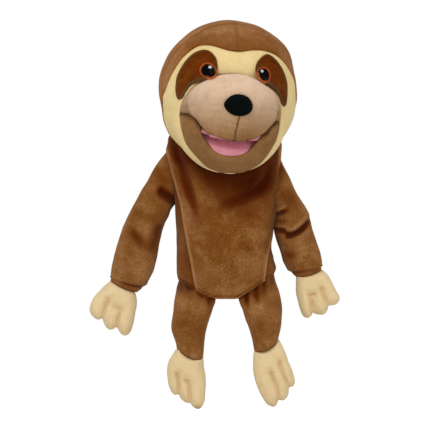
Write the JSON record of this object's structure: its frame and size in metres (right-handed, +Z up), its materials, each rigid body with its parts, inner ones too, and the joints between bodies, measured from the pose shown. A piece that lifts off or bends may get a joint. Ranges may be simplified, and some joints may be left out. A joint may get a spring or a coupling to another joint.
{
  "type": "hand puppet",
  "caption": "Plush sloth glove puppet with an open-bottomed body, a hinged mouth worked by the hand, and swinging arms and legs.",
  "frame": {"origin": "middle of the hand opening, level with the lowest point of the front hem", "axes": "+Z up from the hand opening to the head, -Y the way the face looks, +X towards the puppet's left hand"},
  "size_m": [0.2491, 0.1554, 0.3884],
  "materials": {
    "plush": "brown short-pile plush",
    "cream": "cream short-pile plush",
    "lip": "light tan plush",
    "jaw": "tan plush",
    "patch": "dark brown applique",
    "iris": "orange satin stitch",
    "pupil": "black satin stitch",
    "glint": "white satin stitch",
    "nose": "black satin stitch over padding",
    "pink": "pink brushed lining",
    "paw": "cream short-pile plush",
    "filling": "loose fibre filling",
    "board": "stiff card",
    "lining": "thin brown lining"
  },
  "bodies": {
    "body": {"body_front": "plush", "body_back": "plush", "hem_facing": "plush", "glove_lining": "lining", "neck_sleeve": "plush"},
    "head": {"face_panel": "cream", "hood_left": "plush", "hood_right": "plush", "head_back": "plush", "muzzle": "lip", "nose": "nose", "lip_corner_left": "jaw", "lip_corner_right": "jaw", "cheek_left": "jaw", "cheek_right": "jaw", "eye_patch_left": "patch", "eye_patch_right": "patch", "iris_left": "iris", "iris_right": "iris", "pupil_left": "pupil", "pupil_right": "pupil", "eye_glint_left": "glint", "eye_glint_right": "glint", "head_filling": "filling", "roof_lining": "pink", "roof_board": "board", "finger_pocket": "lining", "mouth_fold": "pink", "throat_gusset": "cream"},
    "jaw": {"lower_lip": "jaw", "chin_panel": "cream", "jaw_filling": "filling", "tongue_lining": "pink", "tongue_board": "board", "thumb_pocket": "lining"},
    "arm_left": {"sleeve_left": "plush", "arm_filling_left": "filling"},
    "hand_left": {"hand_left": "paw"},
    "leg_left": {"leg_left": "plush", "leg_filling_left": "filling", "leg_gathers_left": "plush"},
    "foot_left": {"foot_left": "paw"},
    "arm_right": {"sleeve_right": "plush", "arm_filling_right": "filling"},
    "hand_right": {"hand_right": "paw"},
    "leg_right": {"leg_right": "plush", "leg_filling_right": "filling", "leg_gathers_right": "plush"},
    "foot_right": {"foot_right": "paw"}
  },
  "joints": [
    {"name": "neck_nod", "type": "hinge", "parent": "body", "child": "head", "pos_m": [0, 0.004, 0.148], "axis": [1, 0, 0], "range_deg": [-15, 15], "deforming": ["neck_sleeve"]},
    {"name": "jaw_open", "type": "hinge", "parent": "head", "child": "jaw", "pos_m": [0.00216, -0.03597, 0.18804], "axis": [0.9893, 0.1285, -0.0698], "range_deg": [-14, 24], "deforming": ["cheek_left", "cheek_right", "throat_gusset", "mouth_fold"]},
    {"name": "shoulder_left", "type": "hinge", "parent": "body", "child": "arm_left", "pos_m": [0.053, -0.002, 0.119], "axis": [1, 0, 0], "range_deg": [-80, 40]},
    {"name": "wrist_left", "type": "hinge", "parent": "arm_left", "child": "hand_left", "pos_m": [0.0815, -0.002, 0.023], "axis": [1, 0, 0], "range_deg": [-20, 20]},
    {"name": "hip_left", "type": "hinge", "parent": "body", "child": "leg_left", "pos_m": [0.032, -0.026, 0.004], "axis": [1, 0, 0], "range_deg": [-75, 20], "deforming": ["leg_gathers_left"]},
    {"name": "ankle_left", "type": "hinge", "parent": "leg_left", "child": "foot_left", "pos_m": [0.04, -0.026, -0.051], "axis": [1, 0, 0], "range_deg": [-20, 20]},
    {"name": "shoulder_right", "type": "hinge", "parent": "body", "child": "arm_right", "pos_m": [-0.053, -0.002, 0.119], "axis": [1, 0, 0], "range_deg": [-80, 40]},
    {"name": "wrist_right", "type": "hinge", "parent": "arm_right", "child": "hand_right", "pos_m": [-0.103, -0.002, 0.011], "axis": [1, 0, 0], "range_deg": [-20, 20]},
    {"name": "hip_right", "type": "hinge", "parent": "body", "child": "leg_right", "pos_m": [-0.032, -0.026, 0.004], "axis": [1, 0, 0], "range_deg": [-75, 20], "deforming": ["leg_gathers_right"]},
    {"name": "ankle_right", "type": "hinge", "parent": "leg_right", "child": "foot_right", "pos_m": [-0.037, -0.026, -0.057], "axis": [1, 0, 0], "range_deg": [-20, 20]}
  ]
}
